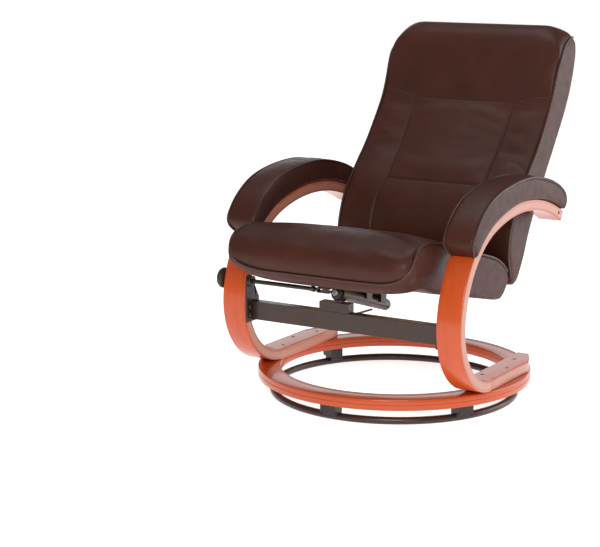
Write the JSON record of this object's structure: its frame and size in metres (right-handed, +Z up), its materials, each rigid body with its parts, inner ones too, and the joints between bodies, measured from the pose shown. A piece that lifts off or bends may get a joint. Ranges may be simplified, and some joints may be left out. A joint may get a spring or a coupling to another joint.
{
  "type": "recliner armchair",
  "caption": "Swivel recliner armchair with bentwood side frames on a round wooden base, padded arms and a leather seat and back that recline together.",
  "frame": {"origin": "on the floor, in the middle of the chair's outline, 72 mm behind the swivel axis", "axes": "+Z up; the chair faces -Y; +X is the sitter's left"},
  "size_m": [0.7012, 0.9435, 0.9211],
  "materials": {
    "cherry_wood": "gloss",
    "brown_leather": "satin",
    "black_steel": "satin",
    "bright_steel": "polished",
    "black_plastic": "satin",
    "plywood": "matte"
  },
  "bodies": {
    "floor_base": {"floor_ring": "black_steel"},
    "carriage": {"wood_ring": "cherry_wood", "ring_guide_1": "black_plastic", "ring_guide_2": "black_plastic", "ring_guide_3": "black_plastic", "ring_guide_4": "black_plastic", "ring_guide_5": "black_plastic", "ring_guide_6": "black_plastic", "guide_screw_1": "black_steel", "guide_screw_2": "black_steel", "guide_screw_3": "black_steel", "guide_screw_4": "black_steel", "guide_screw_5": "black_steel", "guide_screw_6": "black_steel", "side_frame_left": "cherry_wood", "side_frame_right": "cherry_wood", "foot_screw_1_left": "black_steel", "foot_screw_1_right": "black_steel", "foot_screw_2_left": "black_steel", "foot_screw_2_right": "black_steel", "foot_screw_3_left": "black_steel", "foot_screw_3_right": "black_steel", "arm_pad_left": "brown_leather", "arm_pad_right": "brown_leather", "cross_beam": "black_steel", "beam_end_plate_left": "black_steel", "beam_end_plate_right": "black_steel", "beam_bolt_1_left": "black_steel", "beam_bolt_1_right": "black_steel", "beam_bolt_2_left": "black_steel", "beam_bolt_2_right": "black_steel", "clamp_saddle": "black_steel", "slide_clamp": "black_steel", "slide_stay": "black_steel", "pivot_bolt_left": "black_steel", "pivot_bolt_right": "black_steel", "pivot_spacer_left": "black_plastic", "pivot_spacer_right": "black_plastic"},
    "lock": {"lock_knob": "black_plastic", "lock_shaft": "black_steel"},
    "seat": {"seat_cushion": "brown_leather", "seat_board": "plywood", "tube_hanger_front": "black_steel", "tube_hanger_rear": "black_steel", "slide_tube": "black_steel", "slide_plug": "black_plastic", "slide_bolt": "bright_steel", "seat_iron_left": "black_steel", "seat_iron_right": "black_steel", "hinge_pin_left": "bright_steel", "hinge_pin_right": "bright_steel"},
    "backrest": {"back_cushion": "brown_leather", "back_panel": "plywood", "back_cover": "brown_leather", "back_pivot_plate_left": "black_steel", "back_pivot_plate_right": "black_steel", "back_hinge_arm_left": "black_steel", "back_hinge_arm_right": "black_steel"}
  },
  "joints": [
    {"name": "swivel", "type": "hinge", "parent": "floor_base", "child": "carriage", "pos_m": [0, -0.072, 0.03], "axis": [0, 0, 1], "continuous": true},
    {"name": "recline", "type": "hinge", "parent": "carriage", "child": "backrest", "pos_m": [0, 0.194, 0.456], "axis": [-1, 0, 0], "range_deg": [0, 24]},
    {"name": "seat_slide", "type": "slide", "parent": "carriage", "child": "seat", "axis": [0, -0.9563, 0.2924], "range_m": [0, 0.0845]},
    {"name": "lock_turn", "type": "hinge", "parent": "carriage", "child": "lock", "pos_m": [-0.2, -0.344, 0.308], "axis": [-1, 0, 0], "range_deg": [0, 180]}
  ],
  "couplings": [
    {"joint": "seat_slide", "follows": "recline", "m_per_rad": 0.201}
  ]
}
